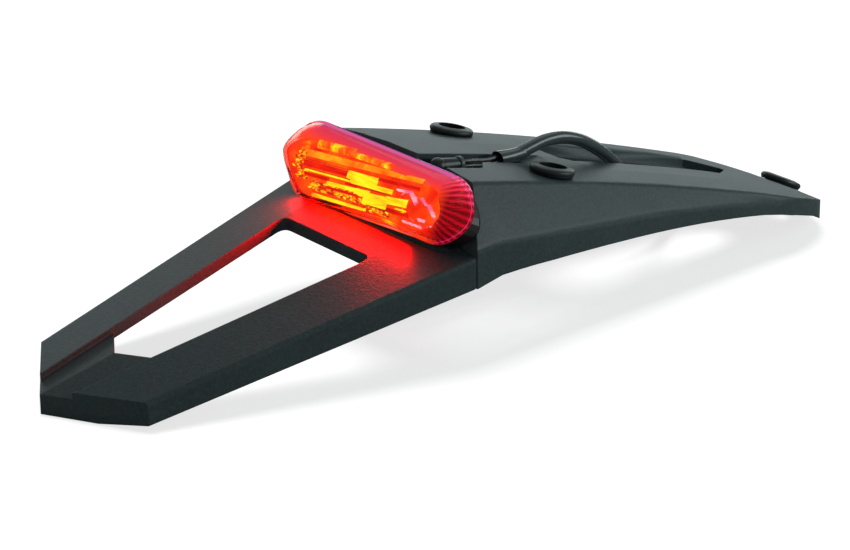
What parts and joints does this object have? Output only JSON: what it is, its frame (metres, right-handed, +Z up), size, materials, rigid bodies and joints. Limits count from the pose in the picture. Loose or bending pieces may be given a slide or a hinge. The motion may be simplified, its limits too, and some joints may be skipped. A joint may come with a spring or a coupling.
{
  "type": "rear fender extension",
  "caption": "Black moulded rear fender extension with a forked tail bracket, an arched slotted tongue on rubber grommets, and a wide red tail lamp with its lead.",
  "frame": {"origin": "on the ground under the middle of the part's length and width, with the rear point and the tongue's tip resting on the ground", "axes": "+X forwards along the part from its rear point to the tongue's tip, +Y to its left side, +Z up"},
  "size_m": [0.4, 0.1302, 0.0757],
  "materials": {
    "moulding": "fine textured, satin-matte black",
    "rubber": "smooth satin black",
    "tray": "black moulded plastic",
    "lens": "clear red moulded lens, polished",
    "prism": "clear moulded light guide",
    "reflector": "vacuum metallised plastic",
    "board": "coated circuit board",
    "chip": "cast resin over the diode",
    "resistor": "ceramic body",
    "screw": "zinc plated",
    "wire_tail": "thin black insulation",
    "wire_stop": "thin black insulation",
    "wire_earth": "thin insulation",
    "sleeve": "soft black sleeving with a sheen",
    "plug": "black moulded plastic",
    "terminal": "stamped and tinned",
    "seal": "silicone"
  },
  "bodies": {
    "root": {"fender_body": "moulding", "lamp_gasket": "rubber", "lamp_tray": "tray", "led_board": "board", "led_chips": "chip", "board_resistors": "resistor", "lamp_reflector": "reflector", "lamp_prism": "prism", "lamp_lens": "lens", "lamp_screws": "screw", "lamp_boot": "rubber", "lead_wire_tail": "wire_tail", "lead_wire_stop": "wire_stop", "lead_wire_earth": "wire_earth", "sleeve_mouth": "rubber", "lead_sleeve": "sleeve", "lead_plug": "plug", "plug_terminals": "terminal", "plug_seal": "seal", "grommet_rear_left": "rubber", "grommet_rear_right": "rubber", "grommet_front": "rubber"}
  },
  "joints": []
}
